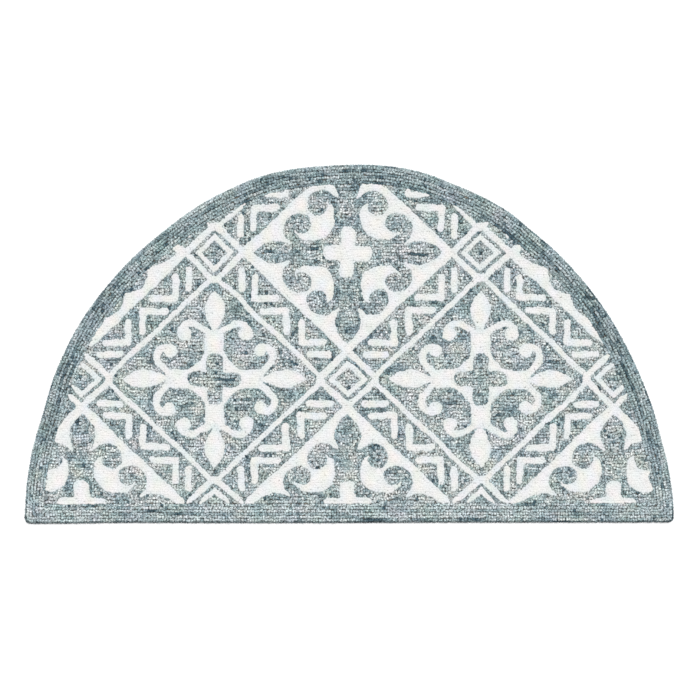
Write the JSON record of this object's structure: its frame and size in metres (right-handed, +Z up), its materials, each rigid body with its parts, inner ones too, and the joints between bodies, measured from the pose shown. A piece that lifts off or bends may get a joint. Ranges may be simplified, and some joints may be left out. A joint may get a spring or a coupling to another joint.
{
  "type": "hearth rug",
  "caption": "Half-round hooked wool hearth rug in grey blue and ivory, with a tile lattice of leaf medallions inside a plain border.",
  "frame": {"origin": "on the floor, at the middle of the rug's bounding box", "axes": "+X along the straight hearth edge, +Y from the hearth edge to the round edge, +Z up out of the pile"},
  "size_m": [1.2208, 0.6754, 0.011],
  "materials": {
    "blue_wool": "heathered grey blue wool yarn, hooked in low loops",
    "ivory_wool": "undyed ivory wool yarn, hooked in low loops",
    "foundation_cotton": "plain cotton cloth that carries the loops and turns under at the rim"
  },
  "bodies": {
    "root": {"hooked_rug": "blue_wool"}
  },
  "joints": []
}
